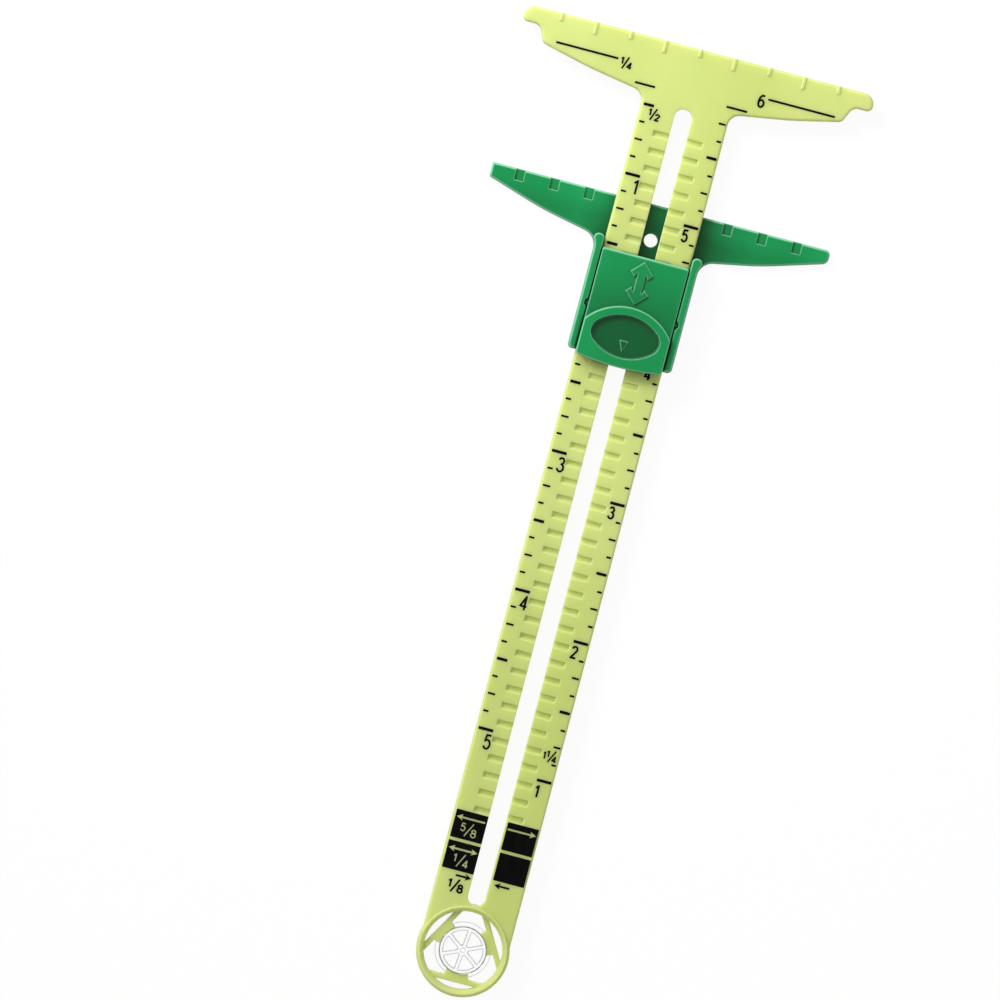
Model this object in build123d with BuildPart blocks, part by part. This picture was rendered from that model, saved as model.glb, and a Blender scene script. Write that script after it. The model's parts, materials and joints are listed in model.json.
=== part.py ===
from build123d import *
from math import tan, radians
import os

os.makedirs("parts", exist_ok=True)

# A T-shaped sliding gauge for sewing, lying on its back: +Y towards the head, +X across, +Z up.
# All lengths are in millimetres. The rule is laid out in divisions of an eighth of an inch.

# Layout: counts of divisions down from the head's straight edge, and along it
pivot_reach = 165.1
pin_division_count = 52
reading_division_count = 9
marking_division_count = 2
notch_start_division_count = 5
notch_count = 40
tooth_division_count = 13
ridge_division_count = 2
tick_division_counts = (4, 6, 8)

# Rule: strip and slot
rule_thickness = 2.0
strip_width = 15.875
slot_width = 3.175
slot_start = 10.95
slot_land = 0.2
edge_chamfer = 0.3

# Rule: T head with a lobe, a throat and a shoulder at each end
head_width = 64.0
lobe_depth = 3.0
lobe_length = 3.3
lobe_outer_round = 2.0
lobe_side = 0.1
throat_round = 1.6
shoulder_inset = 4.6
shoulder_depth = 6.0
shoulder_round = 1.4
neck_depth = 9.85
neck_round = 2.2
brow_round = 60.0
head_brow_shares = (0.46, 0.545)
ridge_width = 0.55
ridge_height = 0.25
ridge_short = 1.4
ridge_long = 2.2

# Rule: detent notches beside the slot, with a steep flank towards the head and a long flank below
notch_width = 2.9
notch_length = 1.2
notch_depth = 0.5
notch_steep_run = 0.14
notch_floor = 0.6

# Rule: ring with a raised rim and three chord bars that seat the anchor
ring_overhang = 0.38
rim_width = 1.32
rim_wall = 0.95
rim_draft = 0.05
rim_crest = 0.22
rim_lift = 0.5
rim_slope = 0.75
rim_chamfer = 0.2
bar_width = 1.0
bar_thickness = 1.4
bar_count = 3
bar_start_angle = 30
seat_radius = 4.1
saddle_depth = 0.78
saddle_foot = 1.1
saddle_half = 1.75
saddle_flare = 0.5

# Compass anchor: clear disc snapped into the three saddles
seat_gap = 0.07
float_gap = 0.1
flange_overhang = 0.9
lip_overhang = 0.18
lip_height = 0.4
lip_chamfer = 0.15
rim_line = 0.45
rib_count = 6
rib_width = 0.6
rib_start_angle = 24
pocket_depth = 0.55
anchor_boss_radius = 0.95
pin_radius = 0.4

# Slider carriage: wings, plate and rails
plate_thickness = 1.4
plate_chamfer = 0.3
plate_gap = 0.1
rail_gap = 0.11
wing_reach = 31.4
tip_cut = 0.8
tip_cut_round = 0.4
tip_upper_round = 0.9
tip_lower_round = 1.2
wing_tip_depth = 2.35
wing_root_depth = 7.95
wing_root_round = 2.8
wing_brow_shares = (0.52, 0.627)
slider_length = 28.35
rail_width = 1.35
rail_ledge = 0.15
rail_end_shares = (0.38, 0.5)
rail_head_width = 2.25
rail_head_share = 0.36
rail_flare = 2.1
rail_flare_round = 4.0
rail_start = 7.45
rail_height = 3.55
rail_round = 0.4
marking_radius = 1.2
tick_width = 1.6
tick_length = 2.05
tick_depth = 0.35

# Slider carriage: sockets in the rails that take the lever's bosses
pivot_drop = 19.9
boss_radius = 0.4
boss_gap = 0.05
boss_length = 0.4
socket_depth = 0.48
socket_snap = 0.25
mouth_radius = 0.88
mouth_depth = 0.58
boss_height = 0.5

# Push lever: rocker plate with a raised pad, a dish and arrows
lever_side_gap = 0.15
lever_face_gap = 0.15
lever_thickness = 1.5
lever_front = 10.275
lever_back = 9.125
lever_bulge = 0.7
lever_corner = 0.8
lever_front_round = 0.6
lever_side_round = 0.28
lever_travel = 5.5
relief_spare = 0.4
pad_height = 0.85
pad_drop = 4.27
pad_rise = 5.35
pad_arc = 9.9
pad_round = 0.38
dish_half_width = 6.25
dish_half_length = 3.85
dish_end_round = 2.4
dish_depth = 0.8
dish_draft = 12
arrow_centre = 5.53
arrow_half_length = 3.9
arrow_head_width = 2.05
arrow_barb = 0.85
arrow_shaft = 0.72
arrow_head_length = 2.1
arrow_height = 0.3
push_arrow_drop = 6.0
push_arrow_half_width = 0.8
push_arrow_length = 2.0
push_arrow_height = 0.15

# Spring leaf: forked sheet-metal leaf staked under the lever
leaf_thickness = 0.2
leaf_half_width = 4.2
leaf_fork_inner = 2.0
leaf_fork_root = 2.7
leaf_rear = 1.2
leaf_tail_reach = 6.5
leaf_tail_half_width = 3.0
leaf_toe_length = 0.8
leaf_toe_lift = 0.15
leaf_rule_gap = 0.08
tooth_clearance = 0.09
tooth_setback = 0.07
pocket_height = 0.55
pocket_margin = 0.4
pocket_rear = 3.9
peg_radius = 0.45
peg_place = 3.0
peg_forward = 0.9
peg_gap = 0.05
peg_stand = 0.1

# Places worked out from the sizes
division = pivot_reach / pin_division_count
rule_back = plate_thickness + plate_gap
rule_face = rule_back + rule_thickness
strip_half = strip_width / 2
slot_half = slot_width / 2
head_half = head_width / 2
ring_outer = strip_half + ring_overhang
ring_inner = ring_outer - rim_width
lobe_inner_round = lobe_depth - lobe_outer_round - lobe_side
rim_top = rule_face + rim_lift
edge_y = (pivot_reach + ring_outer) / 2
pin_y = edge_y - pivot_reach
pin_axis = Axis((0, pin_y, 0), (0, 0, 1))

# Outline of the rule's head and strip, one half mirrored
shoulder_x = head_half - shoulder_inset
head_brow_x = shoulder_x - head_brow_shares[0] * (shoulder_x - strip_half)
head_brow_depth = shoulder_depth + head_brow_shares[1] * (neck_depth - shoulder_depth)

with BuildSketch() as rule_outline:
    with BuildLine():
        FilletPolyline(
            (0, edge_y),
            (head_half, edge_y),
            (head_half, edge_y - lobe_depth),
            (head_half - lobe_length, edge_y - lobe_depth),
            (shoulder_x, edge_y - shoulder_depth),
            (head_brow_x, edge_y - head_brow_depth),
            (strip_half, edge_y - neck_depth),
            (strip_half, pin_y),
            (0, pin_y),
            radius=[
                lobe_outer_round,
                lobe_inner_round,
                throat_round,
                shoulder_round,
                brow_round,
                neck_round,
                0,
            ],
        )
        mirror(about=Plane.YZ)
    make_face()

# Rule: plate with the slot and the ring's opening
slot_end = pivot_reach - ring_inner - rim_wall - slot_land
slot_length = slot_end - slot_start

with BuildPart() as rule:
    add(rule_outline.sketch_local.moved(Location((0, 0, rule_back))))
    extrude(amount=rule_thickness)
    chamfer(rule.faces().sort_by(Axis.Z)[-1].outer_wire().edges(), edge_chamfer)
    with BuildSketch(Plane.XY.offset(rule_back)):
        with Locations((0, edge_y - slot_start - slot_length / 2)):
            SlotOverall(slot_length, slot_width, rotation=90)
        with Locations((0, pin_y)):
            Circle(ring_inner)
    extrude(amount=rule_thickness, mode=Mode.SUBTRACT)

    # Two columns of notches, open to the slot
    for side in (-1, 1):
        with BuildSketch(Plane.YZ.offset(side * slot_half)):
            with Locations(
                [
                    (edge_y - (notch_start_division_count + place) * division, rule_face)
                    for place in range(notch_count)
                ]
            ):
                Polygon(
                    (0, notch_depth),
                    (0, 0),
                    (-notch_steep_run, -notch_depth),
                    (-notch_steep_run - notch_floor, -notch_depth),
                    (-notch_length, 0),
                    (-notch_length, notch_depth),
                )
        extrude(amount=side * notch_width, mode=Mode.SUBTRACT)

    # Raised ridges along the head's edge, long and short in turn
    ridge_pitch = ridge_division_count * division
    ridge_span = int((head_half - lobe_outer_round - ridge_width) / ridge_pitch)
    with BuildSketch(Plane.XY.offset(rule_face - edge_chamfer)):
        for ridge in range(-ridge_span, ridge_span + 1):
            with Locations((ridge * ridge_pitch, edge_y)):
                Rectangle(
                    ridge_width,
                    ridge_long if ridge % 2 else ridge_short,
                    align=(Align.CENTER, Align.MAX),
                )
    extrude(amount=edge_chamfer + ridge_height)

    # Rim of the ring, turned about the pin's axis: a crest above the strip, sloping to the opening
    with BuildSketch(Plane.XZ.offset(-pin_y)):
        with BuildLine():
            Polyline(
                (ring_inner, 0),
                (ring_outer, 0),
                (ring_outer, rule_face - rim_chamfer),
                (ring_outer - rim_chamfer, rule_face),
                (ring_inner + rim_wall, rule_face),
                (ring_inner + rim_wall - rim_draft, rim_top),
                (ring_inner + rim_wall - rim_draft - rim_crest, rim_top),
                (ring_inner, rim_top - rim_slope),
                close=True,
            )
        make_face()
    revolve(axis=pin_axis)

    # Chord bars and their saddles
    with BuildSketch(Plane.XY.offset(rule_back)):
        with Locations((0, pin_y)):
            with PolarLocations(0, bar_count, start_angle=bar_start_angle):
                with Locations((seat_radius + saddle_depth + bar_width / 2, 0)):
                    Rectangle(bar_width, 2 * ring_inner)
                Polygon(
                    (seat_radius - saddle_foot, -saddle_half),
                    (seat_radius + saddle_depth, -saddle_half - saddle_flare),
                    (seat_radius + saddle_depth, saddle_half + saddle_flare),
                    (seat_radius - saddle_foot, saddle_half),
                )
            Circle(seat_radius, mode=Mode.SUBTRACT)
            Circle(ring_inner + rim_width / 2, mode=Mode.INTERSECT)
    extrude(amount=bar_thickness)

rule.part.label = "rule"
export_step(rule.part, "parts/rule.step")

# Compass anchor: turned disc with a flange below the bars and a lip above them
flange_top = rule_back - float_gap
lip_bottom = rule_back + bar_thickness + float_gap
anchor_top = lip_bottom + lip_height
neck_radius = seat_radius - seat_gap

with BuildPart() as compass_anchor:
    with BuildSketch(Plane.XZ.offset(-pin_y)):
        with BuildLine():
            Polyline(
                (pin_radius, 0),
                (seat_radius + flange_overhang, 0),
                (seat_radius + flange_overhang, flange_top),
                (neck_radius, flange_top),
                (neck_radius, lip_bottom),
                (seat_radius + lip_overhang, lip_bottom),
                (seat_radius + lip_overhang, anchor_top - lip_chamfer),
                (seat_radius + lip_overhang - lip_chamfer, anchor_top),
                (pin_radius, anchor_top),
                close=True,
            )
        make_face()
    revolve(axis=pin_axis)

    # Pockets between the ribs
    with BuildSketch(Plane.XY.offset(anchor_top)):
        with Locations((0, pin_y)):
            Circle(neck_radius - rim_line)
            Circle(anchor_boss_radius, mode=Mode.SUBTRACT)
            with PolarLocations(0, rib_count, start_angle=rib_start_angle):
                Rectangle(
                    neck_radius,
                    rib_width,
                    align=(Align.MIN, Align.CENTER),
                    mode=Mode.SUBTRACT,
                )
    extrude(amount=-pocket_depth, mode=Mode.SUBTRACT)

compass_anchor.part.label = "compass_anchor"
export_step(compass_anchor.part, "parts/compass_anchor.step")

# Outline of the slider, with the left wing's tip cut square
wing_y = edge_y - reading_division_count * division
slider_end_y = wing_y - slider_length
rail_inner = strip_half + rail_gap
rail_outer = rail_inner + rail_width
slider_side = rail_outer + rail_ledge
slider_corner = rail_ledge + rail_end_shares[1] * rail_width
wing_brow_x = wing_reach - wing_brow_shares[0] * (wing_reach - slider_side)
wing_brow_depth = wing_tip_depth + wing_brow_shares[1] * (wing_root_depth - wing_tip_depth)

wing_slope = (wing_brow_depth - wing_tip_depth) / (wing_reach - wing_brow_x)
cut_x = wing_reach - tip_cut
cut_depth = wing_tip_depth + tip_cut * wing_slope

with BuildSketch() as slider_outline:
    with BuildLine():
        FilletPolyline(
            (-cut_x, wing_y),
            (wing_reach, wing_y),
            (wing_reach, wing_y - wing_tip_depth),
            (wing_brow_x, wing_y - wing_brow_depth),
            (slider_side, wing_y - wing_root_depth),
            (slider_side, slider_end_y),
            (-slider_side, slider_end_y),
            (-slider_side, wing_y - wing_root_depth),
            (-wing_brow_x, wing_y - wing_brow_depth),
            (-cut_x, wing_y - cut_depth),
            radius=[
                0,
                tip_upper_round,
                tip_lower_round,
                brow_round,
                wing_root_round,
                slider_corner,
                slider_corner,
                wing_root_round,
                brow_round,
                tip_cut_round,
            ],
            close=True,
        )
    make_face()

# Slider carriage: plate, rails, sockets, wing ticks and marking hole
pivot_y = wing_y - pivot_drop
lever_base = rule_face + lever_face_gap
boss_z = lever_base + boss_height
socket_radius = boss_radius + boss_gap
rail_top = plate_thickness + rail_height
rail_end_y = slider_end_y + rail_ledge
rail_start_y = wing_y - rail_start

with BuildPart() as slider_carriage:
    add(slider_outline.sketch_local)
    extrude(amount=plate_thickness)
    chamfer(slider_carriage.faces().sort_by(Axis.Z)[-1].outer_wire().edges(), plate_chamfer)
    with BuildSketch():
        with BuildLine():
            FilletPolyline(
                (rail_inner, rail_end_y),
                (rail_outer, rail_end_y),
                (rail_outer, rail_start_y - rail_flare),
                (rail_inner + rail_head_width, rail_start_y),
                (rail_inner, rail_start_y),
                radius=[
                    rail_end_shares[0] * rail_width,
                    rail_end_shares[1] * rail_width,
                    rail_flare_round,
                    rail_head_share * rail_head_width,
                    rail_head_share * rail_head_width,
                ],
                close=True,
            )
        make_face()
        mirror(about=Plane.YZ)
    extrude(amount=rail_top)
    fillet(slider_carriage.faces().group_by(Axis.Z)[-1].edges(), rail_round)

    # Sockets in the inner walls, with a round mouth above that the bosses snap through
    for side in (-1, 1):
        with BuildSketch(Plane.YZ.offset(side * rail_inner)):
            with Locations((pivot_y, boss_z)):
                Circle(socket_radius)
        extrude(amount=side * socket_depth, mode=Mode.SUBTRACT)
        with BuildSketch(Plane.XY.offset(boss_z + socket_snap)):
            with Locations((side * (rail_inner + mouth_depth - mouth_radius), pivot_y)):
                Circle(mouth_radius)
        extrude(amount=rail_top - boss_z - socket_snap, mode=Mode.SUBTRACT)

    # Recessed ticks along the wings' edge
    with BuildSketch(Plane.XY.offset(plate_thickness)):
        for place in tick_division_counts:
            with Locations((-place * division, wing_y), (place * division, wing_y)):
                Rectangle(tick_width, tick_length, align=(Align.CENTER, Align.MAX))
    extrude(amount=-tick_depth, mode=Mode.SUBTRACT)
    with Locations((0, wing_y - marking_division_count * division, plate_thickness)):
        Hole(marking_radius)

slider_carriage.part.label = "slider_carriage"
export_step(slider_carriage.part, "parts/slider_carriage.step")

# Push lever: outline seen from above
lever_half = rail_inner - lever_side_gap
lever_front_y = pivot_y + lever_front
lever_back_y = pivot_y - lever_back
lever_top = lever_base + lever_thickness
lever_reach = lever_back + lever_bulge
pad_y = pivot_y - pad_drop
dish_chord = dish_half_width - dish_end_round
dish_arc = (dish_chord**2 + dish_half_length**2 - dish_end_round**2) / (
    2 * (dish_half_length - dish_end_round)
)

with BuildSketch() as lever_outline:
    with BuildLine():
        Polyline(
            (lever_half, lever_back_y),
            (lever_half, lever_front_y),
            (-lever_half, lever_front_y),
            (-lever_half, lever_back_y),
        )
        ThreePointArc(
            (-lever_half, lever_back_y),
            (0, lever_back_y - lever_bulge),
            (lever_half, lever_back_y),
        )
    make_face()
    fillet(lever_outline.vertices().sort_by(Axis.Y)[:2], lever_corner)

with BuildPart() as push_lever:
    add(lever_outline.sketch_local.moved(Location((0, 0, lever_base))))
    extrude(amount=lever_thickness)
    top_edges = push_lever.faces().sort_by(Axis.Z)[-1].edges().filter_by(GeomType.LINE)
    fillet(top_edges.sort_by(Axis.Y)[-1], lever_front_round)
    side_edges = push_lever.faces().sort_by(Axis.Z)[-1].edges().filter_by(Axis.Y)
    fillet(side_edges, lever_side_round)

    # Raised pad below an arched line, with rounded top edges, and its oval dish
    with BuildSketch(Plane.XY.offset(lever_base)):
        with Locations((0, pad_y + pad_rise - pad_arc)):
            Circle(pad_arc)
        add(lever_outline.sketch_local, mode=Mode.INTERSECT)
    extrude(amount=lever_thickness + pad_height)
    fillet(push_lever.faces().sort_by(Axis.Z)[-1].edges(), pad_round)
    with BuildSketch(Plane.XY.offset(lever_top + pad_height)) as dish:
        with Locations((0, pad_y + dish_arc - dish_half_length)):
            Circle(dish_arc)
        with Locations((0, pad_y - dish_arc + dish_half_length)):
            Circle(dish_arc, mode=Mode.INTERSECT)
        fillet(dish.vertices(), dish_end_round)
    extrude(amount=-dish_depth, taper=dish_draft, mode=Mode.SUBTRACT)

    # Relief under the pad, so that it can be pressed down to the rule
    relief_height = lever_reach * tan(radians(lever_travel + relief_spare))
    with BuildSketch(Plane.YZ):
        with Locations((pivot_y, lever_base)):
            Polygon((0, 0), (-lever_reach, 0), (-lever_reach, relief_height))
    extrude(amount=lever_half, both=True, mode=Mode.SUBTRACT)

    # Pocket for the leaf, and the pegs that stake it
    pocket_top = lever_base + pocket_height
    pocket_front_y = edge_y - tooth_division_count * division + pocket_margin
    with BuildSketch(Plane.XY.offset(lever_base)):
        with Locations((0, pocket_front_y)):
            Rectangle(
                2 * (leaf_half_width + pocket_margin),
                pocket_front_y - pivot_y + pocket_rear,
                align=(Align.CENTER, Align.MAX),
            )
    extrude(amount=pocket_height, mode=Mode.SUBTRACT)
    with BuildSketch(Plane.XY.offset(pocket_top)):
        with Locations((-peg_place, pivot_y + peg_forward), (peg_place, pivot_y + peg_forward)):
            Circle(peg_radius)
    extrude(amount=-leaf_thickness - peg_stand)

    # Side bosses on the rocking axis
    for side in (-1, 1):
        with BuildSketch(Plane.YZ.offset(side * lever_half)):
            with Locations((pivot_y, boss_z)):
                Circle(boss_radius)
        extrude(amount=side * (lever_side_gap + boss_length))

    # Raised double arrow on the plate, and a small arrow in the dish
    with BuildSketch(Plane.XY.offset(lever_top)):
        with Locations((0, pivot_y + arrow_centre)):
            with PolarLocations(0, 2, start_angle=90):
                Polygon(
                    (0, -arrow_shaft),
                    (arrow_half_length - arrow_head_length, -arrow_shaft),
                    (arrow_half_length - arrow_head_length - arrow_barb, -arrow_head_width + arrow_barb),
                    (arrow_half_length - arrow_head_length, -arrow_head_width),
                    (arrow_half_length, 0),
                    (arrow_half_length - arrow_head_length, arrow_head_width),
                    (arrow_half_length - arrow_head_length - arrow_barb, arrow_head_width - arrow_barb),
                    (arrow_half_length - arrow_head_length, arrow_shaft),
                    (0, arrow_shaft),
                )
    extrude(amount=arrow_height)
    with BuildSketch(Plane.XY.offset(lever_top + pad_height - dish_depth)):
        with Locations((0, pivot_y - push_arrow_drop)):
            Polygon(
                (-push_arrow_half_width, push_arrow_length / 2),
                (0, -push_arrow_length / 2),
                (push_arrow_half_width, push_arrow_length / 2),
            )
    extrude(amount=push_arrow_height)

push_lever.part.label = "push_lever"
export_step(push_lever.part, "parts/push_lever.step")

# Spring leaf: side profile of one bent strip, then its fork and narrow tail
leaf_z = pocket_top - leaf_thickness / 2
tooth_y = edge_y - tooth_division_count * division - notch_steep_run - tooth_setback - leaf_thickness / 2
tooth_tip_z = rule_face - notch_depth + tooth_clearance
tail_z = rule_face + leaf_rule_gap + leaf_thickness / 2

with BuildPart() as spring_leaf:
    with BuildSketch(Plane.YZ):
        with BuildLine():
            Polyline(
                (tooth_y, tooth_tip_z),
                (tooth_y, leaf_z),
                (pivot_y - leaf_rear, leaf_z),
                (pivot_y - leaf_tail_reach, tail_z),
                (pivot_y - leaf_tail_reach - leaf_toe_length, tail_z + leaf_toe_lift),
            )
        trace(line_width=leaf_thickness)
    extrude(amount=leaf_half_width, both=True)
    with BuildSketch(Plane.XY.offset(rule_back)):
        with Locations((0, pivot_y + leaf_fork_root)):
            Rectangle(
                2 * leaf_fork_inner,
                lever_front,
                align=(Align.CENTER, Align.MIN),
            )
        with Locations((0, pivot_y - leaf_rear)):
            Rectangle(2 * leaf_half_width, lever_back, align=(Align.CENTER, Align.MAX))
            Rectangle(
                2 * leaf_tail_half_width,
                lever_back,
                align=(Align.CENTER, Align.MAX),
                mode=Mode.SUBTRACT,
            )
        with Locations((-peg_place, pivot_y + peg_forward), (peg_place, pivot_y + peg_forward)):
            Circle(peg_radius + peg_gap)
    extrude(amount=lever_top - rule_back, mode=Mode.SUBTRACT)

spring_leaf.part.label = "spring_leaf"
export_step(spring_leaf.part, "parts/spring_leaf.step")
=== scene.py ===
import json
import math

import bmesh
import bpy
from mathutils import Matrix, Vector
from mathutils.geometry import delaunay_2d_cdt


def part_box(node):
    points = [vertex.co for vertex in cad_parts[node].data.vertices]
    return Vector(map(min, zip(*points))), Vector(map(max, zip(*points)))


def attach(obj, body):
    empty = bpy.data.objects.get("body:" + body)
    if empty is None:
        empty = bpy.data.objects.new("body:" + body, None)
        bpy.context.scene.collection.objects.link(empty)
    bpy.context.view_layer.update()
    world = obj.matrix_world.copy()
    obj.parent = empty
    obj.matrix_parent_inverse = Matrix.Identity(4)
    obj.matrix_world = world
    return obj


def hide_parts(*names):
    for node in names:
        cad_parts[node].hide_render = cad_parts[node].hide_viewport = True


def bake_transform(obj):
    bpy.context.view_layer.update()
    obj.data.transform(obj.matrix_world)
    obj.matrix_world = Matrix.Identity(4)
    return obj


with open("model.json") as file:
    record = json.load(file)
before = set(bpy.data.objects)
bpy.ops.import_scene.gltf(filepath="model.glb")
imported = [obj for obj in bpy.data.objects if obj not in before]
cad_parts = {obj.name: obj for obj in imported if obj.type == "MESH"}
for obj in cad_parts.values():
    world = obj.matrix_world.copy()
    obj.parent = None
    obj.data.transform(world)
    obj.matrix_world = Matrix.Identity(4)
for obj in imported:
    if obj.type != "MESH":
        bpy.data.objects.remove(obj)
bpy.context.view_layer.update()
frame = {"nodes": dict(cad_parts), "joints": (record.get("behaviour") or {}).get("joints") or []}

# Camera: looks straight down on the gauge from about 1.5 m, turned so that the strip leans
# to the right with the head at the top. The gauge fills the right half of the picture.
mm = 0.001
rim_lift = 0.5 * mm
face_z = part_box("rule")[1].z - rim_lift
edge_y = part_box("rule")[1].y
view_width = 177.15 * mm
view_lean = math.radians(14.83)
view_side = -14.05 * mm
view_drop = 86.27 * mm
camera_lens = 300
camera_sensor = 36

camera_data = bpy.data.cameras.new("camera")
camera_data.lens = camera_lens
camera_data.sensor_width = camera_sensor
camera = bpy.data.objects.new("camera", camera_data)
bpy.context.scene.collection.objects.link(camera)
camera_height = view_width * camera_lens / camera_sensor
camera.location = (view_side, edge_y - view_drop, face_z + camera_height)
camera.rotation_euler = (0, 0, view_lean)
bpy.context.scene.camera = camera
bpy.context.scene.view_settings.view_transform = "Standard"

# Table and light: a white table under a white sky, one soft lamp from the upper left of the picture
# and a weaker one over the head. Sky and table are pure white only where they are seen directly, and
# light the gauge more weakly than that.
white = (1, 1, 1, 1)
sky_level = 0.43
lamp_level = 1.5
lamp_softness = math.radians(20)
lamp_height = math.radians(34)
lamp_bearing = math.radians(150)
head_lamp_power = 0.28
head_lamp_size = 0.14
head_lamp_place = (-0.1, 0.19, 0.14)
table_half = 4.0
table_drop = 0.05 * mm
table_level = 0.08
table_glow = 0.93
table_bounce = 0.4


def paint(red, green, blue):
    """A colour given in steps of 255, as the linear colour that a socket takes."""
    linear = []
    for part in (red, green, blue):
        share = part / 255
        linear.append(share / 12.92 if share < 0.04045 else ((share + 0.055) / 1.055) ** 2.4)
    return (*linear, 1.0)


def node(tree, kind, entries=None, **settings):
    """One shader node. Each entry is a value or the output that is wired to it."""
    made = tree.nodes.new("ShaderNode" + kind)
    for name, value in settings.items():
        setattr(made, name, value)
    for entry, value in (entries or {}).items():
        if isinstance(value, bpy.types.NodeSocket):
            tree.links.new(value, made.inputs[entry])
        else:
            made.inputs[entry].default_value = value
    return made


def reckon(tree, operation, *values):
    """The outcome of one Math node."""
    return node(tree, "Math", dict(enumerate(values)), operation=operation).outputs[0]


def band(tree, value, start, stop, low=0.0, high=1.0):
    """A value whose range from start to stop is turned into one from low to high, and held there."""
    entries = {"Value": value, "From Min": start, "From Max": stop, "To Min": low, "To Max": high}
    return node(tree, "MapRange", entries).outputs[0]


def seen_directly(tree):
    """1 for camera, mirror and glass rays, 0 for the rays that light the object."""
    path = node(tree, "LightPath").outputs
    either = reckon(tree, "MAXIMUM", path["Is Camera Ray"], path["Is Glossy Ray"])
    return reckon(tree, "MAXIMUM", either, path["Is Transmission Ray"])


def new_material(name):
    """A material with its node tree and its main shader."""
    made = bpy.data.materials.new(name)
    made.use_nodes = True
    return made, made.node_tree, made.node_tree.nodes["Principled BSDF"]


sky = bpy.data.worlds.new("sky")
sky.use_nodes = True
sky_tree = sky.node_tree
sky_strength = band(sky_tree, seen_directly(sky_tree), 0, 1, sky_level, 1)
sky_colour = sky_tree.nodes["Background"]
sky_colour.inputs["Color"].default_value = white
sky_tree.links.new(sky_strength, sky_colour.inputs["Strength"])
bpy.context.scene.world = sky

lamp_data = bpy.data.lights.new("window", "SUN")
lamp_data.energy = lamp_level
lamp_data.angle = lamp_softness
lamp = bpy.data.objects.new("window", lamp_data)
bpy.context.scene.collection.objects.link(lamp)
lamp.rotation_euler = (0, math.pi / 2 - lamp_height, lamp_bearing)

head_lamp_data = bpy.data.lights.new("head_lamp", "AREA")
head_lamp_data.energy = head_lamp_power
head_lamp_data.size = head_lamp_size
head_lamp = bpy.data.objects.new("head_lamp", head_lamp_data)
bpy.context.scene.collection.objects.link(head_lamp)
head_lamp.location = head_lamp_place
head_aim = Vector((0, edge_y, 0)) - head_lamp.location
head_lamp.rotation_euler = head_aim.to_track_quat("-Z", "Y").to_euler()

table_paint, table_tree, table_shader = new_material("table_paint")
table_shader.inputs["Base Color"].default_value = (table_level, table_level, table_level, 1)
table_shader.inputs["Roughness"].default_value = 1
table_shader.inputs["Specular IOR Level"].default_value = 0
table_shader.inputs["Emission Color"].default_value = white
table_light = band(table_tree, seen_directly(table_tree), 0, 1, table_bounce, table_glow)
table_tree.links.new(table_light, table_shader.inputs["Emission Strength"])

table_mesh = bpy.data.meshes.new("table")
table_turns = [(-1, -1), (1, -1), (1, 1), (-1, 1)]
table_corners = [(x * table_half, y * table_half, -table_drop) for x, y in table_turns]
table_mesh.from_pydata(table_corners, [], [(0, 1, 2, 3)])
table_mesh.materials.append(table_paint)
table = bpy.data.objects.new("table", table_mesh)
bpy.context.scene.collection.objects.link(table)

# Rule: one injection moulding in yellow-green plastic, with the T head, the slotted strip and the
# ring at its foot. The tool has a fine satin finish, and the plastic is a little milky. Its edges
# carry a painted highlight and its recesses a little painted shade.
# The edge tone is a painted highlight along edges and rounds; the hollow tone is painted shade in
# recesses and corners.
lime_tones = {
    "tone": paint(217, 228, 142),
    "deep": paint(209, 221, 128),
    "edge": paint(243, 248, 200),
    "hollow": paint(184, 198, 92),
}
lime_edge = {"radius": 0.25 * mm, "rounds": 0.0, "share": 0.85, "shelter": 0.6}
lime_clouds = 45
lime_roughness = 0.42
lime_shade_share = 0.05
lime_gloss = 0.35
lime_milkiness = 0.95
lime_spread = (1.0, 1.0, 0.5)
lime_spread_reach = 2.2 * mm


def shader_group(name, inputs, outputs):
    """An empty node group with its named inputs and outputs, and the sockets to wire inside it."""
    made = bpy.data.node_groups.new(name, "ShaderNodeTree")
    for label, kind, value in inputs:
        socket = made.interface.new_socket(label, in_out="INPUT", socket_type="NodeSocket" + kind)
        socket.default_value = value
    for label, kind in outputs:
        made.interface.new_socket(label, in_out="OUTPUT", socket_type="NodeSocket" + kind)
    return made, made.nodes.new("NodeGroupInput").outputs, made.nodes.new("NodeGroupOutput").inputs


def mixed(tree, share, first, second):
    """The colour between two others."""
    return node(tree, "Mix", {0: share, 6: first, 7: second}, data_type="RGBA").outputs[2]


# Flow: long faint clouds of a deeper tone, drawn out along the strip as the melt ran
flow_stretch = (1, 0.3, 1)
flow_band = (0.36, 0.64)
melt_flow, flow_in, flow_out = shader_group(
    "melt_flow",
    [
        ("Tone", "Color", white),
        ("Deep Tone", "Color", (0, 0, 0, 1)),
        ("Clouds", "Float", 60),
    ],
    [("Colour", "Color")],
)
flow_object = node(melt_flow, "TexCoord").outputs["Object"]
flow_place = node(melt_flow, "Mapping", {"Vector": flow_object, "Scale": flow_stretch})
flow_noise = {"Scale": flow_in["Clouds"], "Detail": 3, "Roughness": 0.45}
flow_cloud = node(melt_flow, "TexNoise", {"Vector": flow_place.outputs[0], **flow_noise})
flow_share = band(melt_flow, flow_cloud.outputs[0], *flow_band)
flow_colour = mixed(melt_flow, flow_share, flow_in["Tone"], flow_in["Deep Tone"])
melt_flow.links.new(flow_colour, flow_out["Colour"])

# Skin: the tool's spark-eroded grain over a slow waviness, with the gloss uneven to match
wave_height = 6.0
satin_spread = 0.25
satin_strength = 0.35
satin_depth = 0.008 * mm
satin_skin, skin_in, skin_out = shader_group(
    "satin_skin",
    [
        ("Grain", "Float", 4200),
        ("Waves", "Float", 160),
        ("Roughness", "Float", 0.4),
        ("Spread", "Float", 0.1),
    ],
    [("Height", "Float"), ("Roughness", "Float")],
)
skin_place = node(satin_skin, "TexCoord").outputs["Object"]


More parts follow.
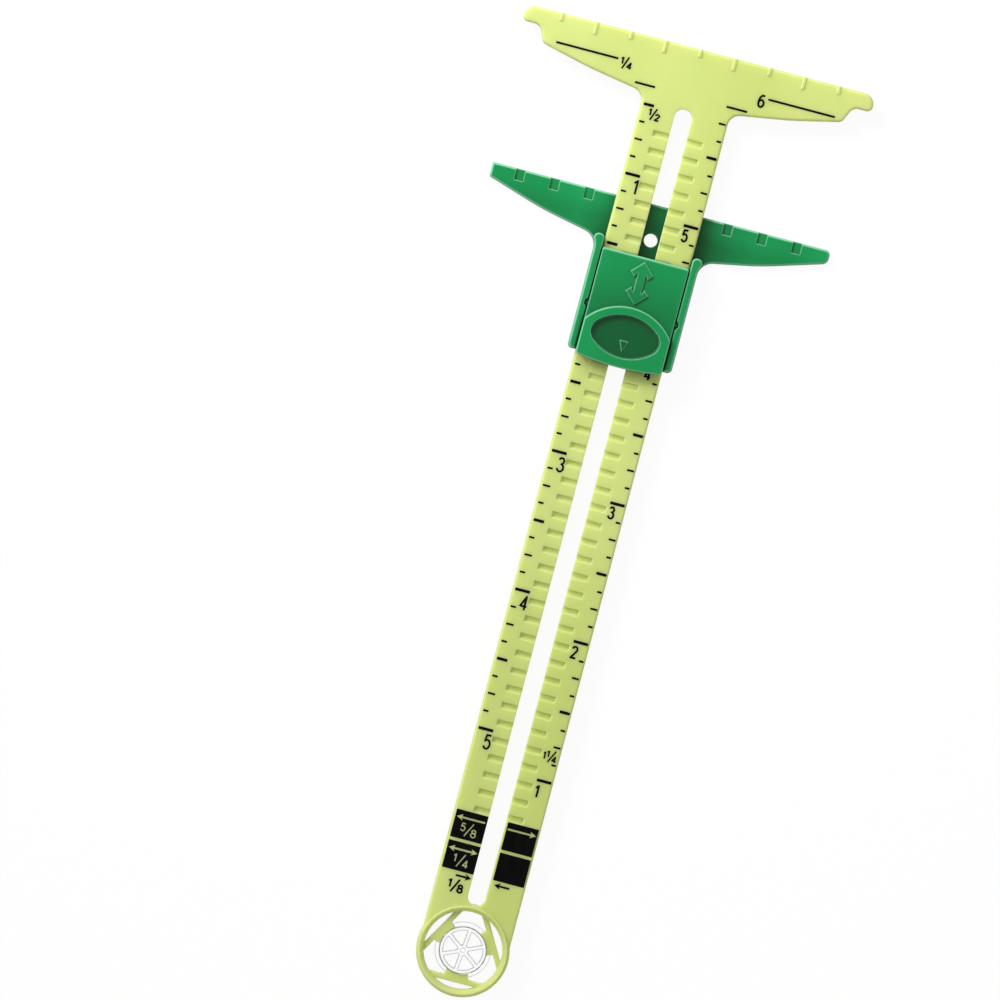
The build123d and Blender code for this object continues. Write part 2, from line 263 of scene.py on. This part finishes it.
def skin_noise(scale, detail):
    """Noise over the surface at one of the group's scales."""
    entries = {"Vector": skin_place, "Scale": scale, "Detail": detail}
    return node(satin_skin, "TexNoise", entries).outputs[0]


skin_grain = skin_noise(skin_in["Grain"], 2)
skin_waves = skin_noise(skin_in["Waves"], 1)
skin_height = reckon(satin_skin, "MULTIPLY_ADD", skin_waves, wave_height, skin_grain)
skin_gloss = reckon(satin_skin, "SUBTRACT", skin_waves, 0.5)
skin_matt = reckon(satin_skin, "MULTIPLY_ADD", skin_gloss, skin_in["Spread"], skin_in["Roughness"])
satin_skin.links.new(skin_height, skin_out["Height"])
satin_skin.links.new(skin_matt, skin_out["Roughness"])

# Edge: a small radius that rounds every moulded corner, and a mask of where that radius is, with the
# rounds that are modelled, which face neither up nor sideways, added by their share
full_turn = 0.75
off_level = (0.98, 0.8)
off_wall = (0.1, 0.4)
soft_edge, edge_in, edge_out = shader_group(
    "soft_edge",
    [("Radius", "Float", 0.15 * mm), ("Rounds", "Float", 0.0)],
    [("Normal", "Vector"), ("Edge", "Float")],
)
edge_bevel = node(soft_edge, "Bevel", {"Radius": edge_in["Radius"]}, samples=6)
edge_face = node(soft_edge, "NewGeometry").outputs["Normal"]
edge_turn = node(
    soft_edge,
    "VectorMath",
    {0: edge_bevel.outputs[0], 1: edge_face},
    operation="DOT_PRODUCT",
)
edge_mask = band(soft_edge, edge_turn.outputs["Value"], 1, full_turn)
edge_lie = node(soft_edge, "SeparateXYZ", {0: edge_face}).outputs["Z"]
edge_steep = band(soft_edge, edge_lie, *off_level)
edge_wall = band(soft_edge, edge_lie, *off_wall)
edge_slant = reckon(soft_edge, "MULTIPLY", edge_steep, edge_wall)
edge_round = reckon(soft_edge, "MULTIPLY", edge_slant, edge_in["Rounds"])
edge_both = reckon(soft_edge, "MAXIMUM", edge_mask, edge_round)
soft_edge.links.new(edge_bevel.outputs[0], edge_out["Normal"])
soft_edge.links.new(edge_both, edge_out["Edge"])

# Hollow: a mask of corners and recesses shut in by walls nearer than a given reach, for painted shade
hollow_reach = 2.5 * mm
hollow_band = (0.95, 0.35)
shut_in, hollow_in, hollow_out = shader_group(
    "shut_in",
    [("Reach", "Float", hollow_reach)],
    [("Hollow", "Float")],
)
open_sky = node(shut_in, "AmbientOcclusion", {"Distance": hollow_in["Reach"]}, samples=8)
shut_in.links.new(band(shut_in, open_sky.outputs["AO"], *hollow_band), hollow_out["Hollow"])


def placed(tree, group, entries):
    """The outputs of a node group placed in a material with its own values."""
    return node(tree, "Group", entries, node_tree=group).outputs


def wire(tree, shader, colour, roughness, bump):
    """Joins the three things that vary over a surface to its shader."""
    tree.links.new(colour, shader.inputs["Base Color"])
    tree.links.new(roughness, shader.inputs["Roughness"])
    tree.links.new(bump.outputs[0], shader.inputs["Normal"])


def moulded_plastic(name, tones, clouds, roughness, edge, shade_share, shade_mask=None):
    """Satin plastic: flow clouds, fine grain, painted highlight on edges, painted shade in hollows and
    masks.
    """
    made, tree, shader = new_material(name)
    melt = {"Tone": tones["tone"], "Deep Tone": tones["deep"], "Clouds": clouds}
    colour = placed(tree, melt_flow, melt)["Colour"]
    skin = placed(tree, satin_skin, {"Roughness": roughness, "Spread": satin_spread})
    rounded = placed(tree, soft_edge, {"Radius": edge["radius"], "Rounds": edge["rounds"]})
    hollow = placed(tree, shut_in, {"Reach": hollow_reach})["Hollow"]
    # Painted shade, in the darkest tone, wherever the shade mask says
    if shade_mask:
        colour = mixed(tree, shade_mask(tree), colour, tones["painted_shade"])
    # Painted shade: the hollow tone laid into recesses and corners by the hollow mask
    painted_shade_share = reckon(tree, "MULTIPLY", hollow, shade_share)
    colour = mixed(tree, painted_shade_share, colour, tones["hollow"])
    # Painted highlight: the edge tone laid along edges and rounds that stand clear of the hollows
    stands_out = band(tree, hollow, 0, edge["shelter"], edge["share"], 0)
    painted_highlight = reckon(tree, "MULTIPLY", rounded["Edge"], stands_out)
    colour = mixed(tree, painted_highlight, colour, tones["edge"])
    relief = {"Height": skin["Height"], "Normal": rounded["Normal"]}
    bump = node(tree, "Bump", {"Strength": satin_strength, "Distance": satin_depth, **relief})
    wire(tree, shader, colour, skin["Roughness"], bump)
    return made


def dress(name, material):
    """Gives a carried-over piece its material."""
    piece = frame["nodes"][name]
    piece.data.materials.clear()
    piece.data.materials.append(material)


lime_plastic = moulded_plastic(
    "lime_plastic",
    lime_tones,
    clouds=lime_clouds,
    roughness=lime_roughness,
    edge=lime_edge,
    shade_share=lime_shade_share,
)
lime_shader = lime_plastic.node_tree.nodes["Principled BSDF"]
lime_shader.inputs["Specular IOR Level"].default_value = lime_gloss
lime_shader.inputs["Subsurface Weight"].default_value = lime_milkiness
lime_shader.inputs["Subsurface Radius"].default_value = lime_spread
lime_shader.inputs["Subsurface Scale"].default_value = lime_spread_reach
dress("rule", lime_plastic)

# Printed scale: black ink pad-printed on the rule after moulding, a film a fiftieth of a millimetre
# thick. Readings in inches run down both sides of the slot; hem widths stand in and under the blocks.
ink_film = 0.02 * mm
ink_bite = 0.01 * mm
division = 3.175
print_rise = 0.85
tick_thickness = {8: 0.52, 4: 0.52, 2: 0.36, 1: 0.36}
tick_round = 0.08
first_count = 4
last_left_count = 40
last_right_count = 42
left_tick_start = -7.42
right_tick_end = 7.6
left_tick_ends = {8: -4.72, 4: -5.52, 2: -6.05, 1: -6.44}
right_tick_starts = {8: 4.95, 4: 5.75, 2: 6.33, 1: 6.75}
right_reading = 50
label_stroke = 0.36
left_label_height = 2.8
left_labels = {
    "1": (-5.7, 25.2),
    "2": (-5.97, 50.63),
    "3": (-5.93, 76.08),
    "4": (-6.0, 101.48),
    "5": (-5.97, 126.9),
}
right_label_height = 2.4
right_labels = {
    "5": (5.0, 31.48),
    "4": (4.95, 56.88),
    "3": (5.0, 82.23),
    "2": (4.95, 107.8),
    "1": (4.87, 133.3),
}


def arc(centre, reach, start, stop, steps=12):
    """Points along part of an oval, from one angle to another in degrees."""
    points = []
    for step in range(steps + 1):
        turn = math.radians(start + (stop - start) * step / steps)
        points.append((centre[0] + reach[0] * math.cos(turn), centre[1] + reach[1] * math.sin(turn)))
    return points


def flat_faces(solid, hollow=(), creases=()):
    """Triangles that lie in any of the solid outlines and in none of the hollow ones."""
    outlines = [*solid, *hollow]
    points = [Vector(point) for outline in outlines for point in outline]
    rings = []
    for outline in outlines:
        start = sum(len(ring) for ring in rings)
        ring = list(range(start, start + len(outline)))
        area = sum(a[0] * b[1] - b[0] * a[1] for a, b in zip(outline, outline[1:] + outline[:1]))
        rings.append(ring if area > 0 else ring[::-1])
    edges = []
    for first, last in creases:
        edges.append((len(points), len(points) + 1))
        points += [Vector(first), Vector(last)]
    made = delaunay_2d_cdt(points, edges, rings, 1, 1e-5, True)
    kept = [face for face, origin in zip(made[2], made[5]) if origin and max(origin) < len(solid)]
    return [tuple(point) for point in made[0]], kept


def add_slab(mesh, points, faces, bottom, top):
    """Adds a flat shape, drawn in millimetres, as a closed slab between two heights."""
    used = sorted({corner for face in faces for corner in face})
    lower, upper = {}, {}
    for layer, height in ((lower, bottom), (upper, top)):
        for corner in used:
            x, y = points[corner]
            layer[corner] = mesh.verts.new((x * mm, y * mm, height))
    sides = {(a, b) for face in faces for a, b in zip(face, face[1:] + face[:1])}
    for face in faces:
        mesh.faces.new([upper[corner] for corner in face])
        mesh.faces.new([lower[corner] for corner in reversed(face)])
    for a, b in sorted(sides):
        if (b, a) not in sides:
            mesh.faces.new([lower[a], lower[b], upper[b], upper[a]])


def mesh_object(name, mesh, material):
    """A mesh object made from a working mesh."""
    bmesh.ops.recalc_face_normals(mesh, faces=mesh.faces)
    data = bpy.data.meshes.new(name)
    mesh.to_mesh(data)
    mesh.free()
    data.materials.append(material)
    made = bpy.data.objects.new(name, data)
    bpy.context.scene.collection.objects.link(made)
    return made


# Digits: centre lines of a slim upright figure, one unit high
figures = {
    "1": [[(0.06, 0.78), (0.3, 1.0), (0.3, 0.0)]],
    "2": [arc((0.25, 0.75), (0.23, 0.25), 170, -30) + [(0.0, 0.0), (0.5, 0.0)]],
    "3": [arc((0.23, 0.77), (0.2, 0.23), 165, -80) + arc((0.23, 0.28), (0.25, 0.28), 80, -165)],
    "4": [[(0.52, 0.28), (0.0, 0.28), (0.36, 1.0), (0.36, 0.0)]],
    "5": [[(0.46, 1.0), (0.1, 1.0), (0.05, 0.56)] + arc((0.23, 0.33), (0.25, 0.33), 135, -155)],
    "6": [arc((0.32, 0.42), (0.32, 0.58), 65, 180) + arc((0.25, 0.3), (0.25, 0.3), 175, -180, 20)],
    "8": [arc((0.25, 0.77), (0.2, 0.23), 0, 360, 16), arc((0.25, 0.28), (0.25, 0.28), 0, 360, 16)],
}


def drawn(path, width):
    """A pen stroke along a path: a bar for each run and a dot at each point."""
    outlines = []
    for (x0, y0), (x1, y1) in zip(path, path[1:]):
        run = math.hypot(x1 - x0, y1 - y0)
        side_x = (y1 - y0) / run * width / 2
        side_y = (x0 - x1) / run * width / 2
        outlines.append([
            (x0 + side_x, y0 + side_y),
            (x1 + side_x, y1 + side_y),
            (x1 - side_x, y1 - side_y),
            (x0 - side_x, y0 - side_y),
        ])
    outlines += [arc(point, (width / 2, width / 2), 0, 330, 11) for point in path[1:-1]]
    return outlines


def figure(sign, left, top, height, stroke, breadth=0.9):
    """A digit whose left side and top are given, in millimetres across and down from the head."""
    size = height - stroke
    start = left + stroke / 2
    base = edge_y / mm - top - height + stroke / 2
    outlines = []
    for path in figures[sign]:
        outlines += drawn([(start + x * size * breadth, base + y * size) for x, y in path], stroke)
    return outlines


# Slash and small digits of a fraction, as shares of its width and height
slash_foot = 0.31
over_drop = 0.06
over_breadth = 1.15
under_left = 0.63
under_breadth = 1.3


def fraction(over, under, left, top, width, height, stroke, share=0.63, slash_head=0.7):
    """Two small digits either side of a slash."""
    small = share * height
    base = edge_y / mm - top - height
    slash = [(left + slash_foot * width, base), (left + slash_head * width, base + height)]
    under_start = left + under_left * width
    return (
        figure(over, left, top + over_drop * height, small, stroke, over_breadth)
        + drawn(slash, stroke)
        + figure(under, under_start, top + height - small, small, stroke, under_breadth)
    )


def bar(left, right, depth, thickness):
    """A short printed line with slightly rounded ends."""
    y = edge_y / mm - depth
    corner = (tick_round, tick_round)
    inner_x = (left + tick_round, right - tick_round)
    inner_y = (y - thickness / 2 + tick_round, y + thickness / 2 - tick_round)
    return (
        arc((inner_x[1], inner_y[0]), corner, -90, 0, 2)
        + arc((inner_x[1], inner_y[1]), corner, 0, 90, 2)
        + arc((inner_x[0], inner_y[1]), corner, 90, 180, 2)
        + arc((inner_x[0], inner_y[0]), corner, 180, 270, 2)
    )


barb_sweep = 0.25


def arrow(tail, tip, depth, shaft, head_length, head_half):
    """A straight arrow across the strip."""
    y = edge_y / mm - depth
    way = math.copysign(1, tip - tail)
    neck = tip - way * head_length
    barb = neck - way * barb_sweep * head_length
    return [
        (tail, y - shaft / 2),
        (neck, y - shaft / 2),
        (barb, y - head_half),
        (tip, y),
        (barb, y + head_half),
        (neck, y + shaft / 2),
        (tail, y + shaft / 2),
    ]


def rank(count):
    """How round a number of eighths is: 8 for a whole inch, 4 for a half, 2 for a quarter."""
    return max(size for size in (1, 2, 4, 8) if count % size == 0)


ink_mesh = bmesh.new()


def ink(solid, hollow=()):
    """Prints a flat shape on the rule's face."""
    points, faces = flat_faces(solid, hollow)
    add_slab(ink_mesh, points, faces, face_z - ink_bite, face_z + ink_film)


for count in range(first_count, last_right_count + 1):
    depth = count * division - print_rise
    if count <= last_left_count:
        size = rank(count)
        ink([bar(left_tick_start, left_tick_ends[size], depth, tick_thickness[size])])
    size = rank(right_reading - count)
    ink([bar(right_tick_starts[size], right_tick_end, depth, tick_thickness[size])])

for labels, height in ((left_labels, left_label_height), (right_labels, right_label_height)):
    for sign, (left, top) in labels.items():
        ink(figure(sign, left, top, height, label_stroke))
ink(fraction("1", "2", left=-6.35, top=12.2, width=2.2, height=2.2, stroke=0.3))
ink(figure("1", left=4.75, top=127.25, height=1.45, stroke=0.28))
hem_label = {"width": 1.85, "height": 2.2, "stroke": 0.27, "share": 0.58, "slash_head": 0.9}
ink(fraction("1", "4", left=5.35, top=126.8, **hem_label))

# Head: the lines and readings either side of the strip
head_line = 0.38
ink([bar(-25.2, -13.8, 5.28, head_line)])
ink(fraction("1", "4", left=-13.45, top=4.6, width=2.15, height=2.23, stroke=0.3))
ink([bar(-9.9, -6.2, 8.56, head_line)])
ink(figure("6", left=12.0, top=4.9, height=2.45, stroke=label_stroke))
ink([bar(13.75, 25.95, 5.53, head_line)])
ink([bar(6.9, 10.7, 8.64, head_line)])

# Blocks at the foot of the strip, with arrows and readings left bare in them
block_rows = ((141.03, 146.07), (146.62, 151.66))
block_sides = ((-7.4, -1.62), (1.97, 7.6))
upper_label = {"width": 3.15, "height": 2.44, "stroke": 0.23}
middle_label = {"width": 3.1, "height": 2.4, "stroke": 0.23}
lower_label = {"width": 3.05, "height": 2.45, "stroke": 0.34, "share": 0.68}
block_arrow = {"shaft": 0.34, "head_length": 0.95, "head_half": 0.6}
lower_arrow = {"shaft": 0.36, "head_length": 0.9, "head_half": 0.62}
upper_arrow_depth = 142.29
middle_arrow_depth = 147.92
lower_arrow_depth = 152.48


def block(side, row):
    """The outline of one black block."""
    left, right = block_sides[side]
    top, bottom = block_rows[row]
    return bar(left, right, (top + bottom) / 2, bottom - top)


ink(
    [block(0, 0)],
    [
        arrow(-1.95, -7.15, upper_arrow_depth, **block_arrow),
        *fraction("5", "8", left=-6.0, top=143.02, **upper_label),
    ],
)
ink([block(1, 0)], [arrow(2.2, 7.42, upper_arrow_depth, **block_arrow)])
ink(
    [block(0, 1)],
    [
        arrow(-4.5, -7.15, middle_arrow_depth, **block_arrow),
        arrow(-4.5, -1.85, middle_arrow_depth, **block_arrow),
        *fraction("1", "4", left=-5.98, top=148.62, **middle_label),
    ],
)
ink([block(1, 1)])
ink([arrow(-4.62, -1.8, lower_arrow_depth, **lower_arrow)])
ink([arrow(5.2, 2.4, lower_arrow_depth, **lower_arrow)])
ink(fraction("1", "8", left=-5.8, top=153.1, **lower_label))

ink_gloss = 0.03
ink_black, ink_tree, ink_shader = new_material("ink_black")
ink_melt = {"Tone": paint(6, 6, 7), "Deep Tone": paint(13, 12, 13), "Clouds": 900}
ink_grain = {"Grain": 2600, "Waves": 500, "Roughness": 0.55, "Spread": 0.3}
ink_flow = placed(ink_tree, melt_flow, ink_melt)
ink_skin = placed(ink_tree, satin_skin, ink_grain)
ink_relief = {"Strength": 0.3, "Distance": 0.004 * mm, "Height": ink_skin["Height"]}
ink_shader.inputs["Specular IOR Level"].default_value = ink_gloss
ink_bump = node(ink_tree, "Bump", ink_relief)
wire(ink_tree, ink_shader, ink_flow["Colour"], ink_skin["Roughness"], ink_bump)

printed_scale = mesh_object("printed_scale", ink_mesh, ink_black)
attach(printed_scale, "rule")

# Compass anchor: a clear disc moulded in styrene, ribbed like a wheel, that snaps into the three
# saddles of the ring and turns there on a pin. Its faces are polished, with faint flow lines.
clear_tone = paint(253, 254, 253)
rib_shade = paint(38, 41, 46)
clear_rounding = {"Radius": 0.3 * mm, "Rounds": 0.8}
clear_polish = {"Grain": 900, "Waves": 320, "Roughness": 0.05, "Spread": 0.06}
clear_index = 1.5

clear_styrene, clear_tree, clear_shader = new_material("clear_styrene")
clear_skin = placed(clear_tree, satin_skin, clear_polish)
clear_edge = placed(clear_tree, soft_edge, clear_rounding)
# The edges and ribs are painted dark grey: painted shade for the dark lines that refraction draws at
# them.
clear_colour = mixed(clear_tree, clear_edge["Edge"], clear_tone, rib_shade)
clear_relief = {"Height": clear_skin["Height"], "Normal": clear_edge["Normal"]}
clear_bump = node(clear_tree, "Bump", {"Strength": 0.2, "Distance": 0.01 * mm, **clear_relief})
clear_shader.inputs["Transmission Weight"].default_value = 1
clear_shader.inputs["IOR"].default_value = clear_index
wire(clear_tree, clear_shader, clear_colour, clear_skin["Roughness"], clear_bump)
dress("compass_anchor", clear_styrene)

# Slider carriage: one moulding in green plastic, a plate behind the rule with two wings and two side
# rails that hook the lever's bosses. It slides under the rule's strip. The plate's face is painted
# darker behind the rule than at the wing tips and front edge: painted shade where the strip shades it.
# Of these tones, edge is a painted highlight on edges and rounds, hollow is painted shade in recesses
# and corners, and the darkest one is painted shade laid in by the plate and dish masks.
green_tones = {
    "tone": paint(20, 153, 84),
    "deep": paint(14, 142, 75),
    "edge": paint(156, 230, 188),
    "hollow": paint(4, 62, 30),
    "painted_shade": paint(3, 88, 42),
}
green_edge = {"radius": 0.34 * mm, "rounds": 0.7, "share": 0.9, "shelter": 0.9}
green_clouds = 90
green_roughness = 0.36
green_shade_share = 0.65
green_gloss = 0.2
wing_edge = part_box("slider_carriage")[1].y
plate_top = 1.4 * mm
plate_middle = 2.5 * mm
middle_reach = (16 * mm, 7 * mm)
middle_share = 0.7
wing_edge_reach = (wing_edge - 1.8 * mm, wing_edge - 4.5 * mm)
wing_edge_share = 0.35
over_plate = (plate_top + 0.5 * mm, plate_top + 0.1 * mm)
over_back = (0.2 * mm, plate_top - 0.4 * mm)


def plate_shade(tree):
    """How much painted shade the plate's face gets: most behind the rule, none at the wing tips or the
    back.
    """
    place = node(tree, "SeparateXYZ", {0: node(tree, "TexCoord").outputs["Object"]}).outputs
    aside = reckon(tree, "ABSOLUTE", reckon(tree, "SUBTRACT", place["X"], plate_middle))
    middle = band(tree, aside, *middle_reach, high=middle_share)
    behind_edge = band(tree, place["Y"], *wing_edge_reach, high=wing_edge_share)
    # The share of painted shade, from the middle and from the distance behind the front edge
    depth = reckon(tree, "ADD", middle, behind_edge)
    low = band(tree, place["Z"], *over_plate)
    face = band(tree, place["Z"], *over_back)
    return reckon(tree, "MULTIPLY", reckon(tree, "MULTIPLY", depth, low), face)


def green_plastic(name, shade_mask):
    """The green of the carriage and the lever, with painted shade where the mask says."""
    made = moulded_plastic(
        name,
        green_tones,
        clouds=green_clouds,
        roughness=green_roughness,
        edge=green_edge,
        shade_share=green_shade_share,
        shade_mask=shade_mask,
    )
    shader = made.node_tree.nodes["Principled BSDF"]
    shader.inputs["Specular IOR Level"].default_value = green_gloss
    return made


dress("slider_carriage", green_plastic("carriage_plastic", plate_shade))

# Push lever: a green rocker plate snapped between the rails, with a raised oval pad for the thumb and
# a raised double arrow, moulded in the same plastic as the carriage. The floor and walls of the pad's
# dish are painted darker, painted shade where the pad's rim shades the dish, and so, half as much, is
# the plate by the pad.
pivot = next(joint for joint in frame["joints"] if joint["name"] == "lever_tilt")
pivot_y = pivot["pos_m"][1] / mm
pad_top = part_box("push_lever")[1].z
dish_drop = 4.27
dish_centre = (0, (pivot_y - dish_drop) * mm, 0)
dish_shares = (1 / (6.25 * mm), 1 / (3.85 * mm), 0)
dish_wall = (1.03, 0.97)
under_pad = (pad_top - 0.1 * mm, pad_top - 0.5 * mm)
lever_plate_reach = ((pivot_y + 8) * mm, (pivot_y + 1) * mm)
lever_plate_share = 0.45


def dish_shade(tree):
    """Painted shade: 1 on the dish's floor and walls, about half on the plate by the pad, 0 elsewhere.
    """
    place = node(tree, "TexCoord").outputs["Object"]
    away = node(tree, "VectorMath", {0: place, 1: dish_centre}, operation="SUBTRACT").outputs[0]
    oval = node(tree, "VectorMath", {0: away, 1: dish_shares}, operation="MULTIPLY").outputs[0]
    reach = node(tree, "VectorMath", {0: oval}, operation="LENGTH").outputs["Value"]
    lie = node(tree, "SeparateXYZ", {0: place}).outputs
    inside = band(tree, reach, *dish_wall)
    beside = band(tree, lie["Y"], *lever_plate_reach, high=lever_plate_share)
    below = band(tree, lie["Z"], *under_pad)
    floor = reckon(tree, "MULTIPLY", inside, below)
    plate = reckon(tree, "MULTIPLY", beside, below)
    return reckon(tree, "MAXIMUM", floor, plate)


dress("push_lever", green_plastic("lever_plastic", dish_shade))

# Spring leaf: blanked and bent from spring steel strip, with a fork whose bent ends are the detent
# teeth, two holes for the pegs that stake it under the lever, and a tail that bears on the rule.
leaf_low, leaf_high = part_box("spring_leaf")
leaf_thickness = 0.2
leaf_half = leaf_high.x / mm
leaf_z = leaf_high.z / mm - leaf_thickness / 2
tooth_y = leaf_high.y / mm - leaf_thickness / 2
tooth_tip_z = leaf_low.z / mm
tail_gap = 0.08
bend_y = pivot_y - 1.2
tail_y = pivot_y - 6.5
tail_z = face_z / mm + tail_gap + leaf_thickness / 2
toe_length = 0.8
toe_lift = 0.15
bend_radii = (0.3, 3.0, 1.2)
bend_steps = 6
fork_inner = 2.0
fork_root_y = pivot_y + 2.7
tail_half = 3.0
peg_y = pivot_y + 0.9
peg_x = 3.0
peg_hole = 0.5
fork_round = 0.5
corner_round = 0.4
waist_round = 0.3


def rounded_line(points, radii):
    """An open line with each inner corner turned into a short arc of the given radius."""
    made = [Vector(points[0])]
    for before, corner, after, radius in zip(points, points[1:], points[2:], radii):
        corner = Vector(corner)
        into = (corner - Vector(before)).normalized()
        out = (Vector(after) - corner).normalized()
        reach = radius * math.tan(into.angle(out) / 2)
        first = corner - into * reach
        last = corner + out * reach
        for step in range(bend_steps + 1):
            share = step / bend_steps
            made.append(first.lerp(corner, share).lerp(corner.lerp(last, share), share))
    return made + [Vector(points[-1])]


leaf_line = rounded_line(
    [
        (tooth_y, tooth_tip_z),
        (tooth_y, leaf_z),
        (bend_y, leaf_z),
        (tail_y, tail_z),
        (tail_y - toe_length, tail_z + toe_lift),
    ],
    bend_radii,
)
leaf_stations = [0.0]
for before, after in zip(leaf_line, leaf_line[1:]):
    leaf_stations.append(leaf_stations[-1] + (after - before).length)
leaf_runs = list(zip(leaf_stations, leaf_stations[1:], leaf_line, leaf_line[1:]))


def blank_place(y):
    """How far along the flat blank the point of the bent leaf at this y lies."""
    for start, stop, before, after in leaf_runs:
        if after.x <= y <= before.x and before.x > after.x:
            return start + (stop - start) * (before.x - y) / (before.x - after.x)
    return leaf_stations[-1]


def bent(place):
    """Where a place along the flat blank comes to lie once the leaf is bent."""
    for start, stop, before, after in leaf_runs:
        if place <= stop:
            return before.lerp(after, (place - start) / (stop - start))
    return leaf_line[-1]


leaf_end = leaf_stations[-1]
fork_root = blank_place(fork_root_y)
shoulder = blank_place(bend_y)


def rounding(x, y, radius, start, stop, steps=4):
    """A corner of the blank, rounded about a centre."""
    return arc((x, y), (radius, radius), start, stop, steps)


fork_x, fork_y = fork_inner - fork_round, fork_root - fork_round
fork_end_x, fork_end_y = leaf_half - corner_round, shoulder - corner_round
waist_x, waist_y = tail_half + waist_round, shoulder + waist_round
tail_x, tail_end = tail_half - corner_round, leaf_end - corner_round
blank = (
    [(-leaf_half, 0), (-fork_inner, 0)]
    + rounding(-fork_x, fork_y, fork_round, 180, 90, 5)
    + rounding(fork_x, fork_y, fork_round, 90, 0, 5)
    + [(fork_inner, 0), (leaf_half, 0)]
    + rounding(fork_end_x, fork_end_y, corner_round, 0, 90)
    + rounding(waist_x, waist_y, waist_round, 270, 180)
    + rounding(tail_x, tail_end, corner_round, 0, 90)
    + rounding(-tail_x, tail_end, corner_round, 90, 180)
    + rounding(-waist_x, waist_y, waist_round, 0, -90)
    + rounding(-fork_end_x, fork_end_y, corner_round, 90, 180)
)
peg_place = blank_place(peg_y)
peg_holes = [arc((side * peg_x, peg_place), (peg_hole, peg_hole), 0, 345, 23) for side in (-1, 1)]
leaf_creases = [((-leaf_half, place), (leaf_half, place)) for place in leaf_stations[1:-1]]
blank_points, blank_faces = flat_faces([blank], peg_holes, leaf_creases)

leaf_mesh = bmesh.new()
leaf_corners = {}
for corner in sorted({corner for face in blank_faces for corner in face}):
    across, along = blank_points[corner]
    y, z = bent(along)
    leaf_corners[corner] = leaf_mesh.verts.new((across * mm, y * mm, z * mm))
for face in blank_faces:
    leaf_mesh.faces.new([leaf_corners[corner] for corner in face])

spring_steel, steel_tree, steel_shader = new_material("spring_steel")
steel_rolled = {"Tone": paint(176, 178, 180), "Deep Tone": paint(150, 152, 156), "Clouds": 700}
steel_grain = {"Grain": 6000, "Waves": 900, "Roughness": 0.32, "Spread": 0.3}
steel_flow = placed(steel_tree, melt_flow, steel_rolled)
steel_skin = placed(steel_tree, satin_skin, steel_grain)
steel_relief = {"Strength": 0.3, "Distance": 0.003 * mm, "Height": steel_skin["Height"]}
steel_bump = node(steel_tree, "Bump", steel_relief)
steel_shader.inputs["Metallic"].default_value = 1
wire(steel_tree, steel_shader, steel_flow["Colour"], steel_skin["Roughness"], steel_bump)

sprung_leaf = mesh_object("sprung_leaf", leaf_mesh, spring_steel)
leaf_gauge = sprung_leaf.modifiers.new("gauge", "SOLIDIFY")
leaf_gauge.thickness = leaf_thickness * mm
leaf_gauge.offset = 0
leaf_gauge.use_even_offset = True
bpy.context.view_layer.update()
leaf_made = sprung_leaf.evaluated_get(bpy.context.evaluated_depsgraph_get())
sprung_leaf.data = bpy.data.meshes.new_from_object(leaf_made)
sprung_leaf.modifiers.clear()
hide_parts("spring_leaf")
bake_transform(sprung_leaf)
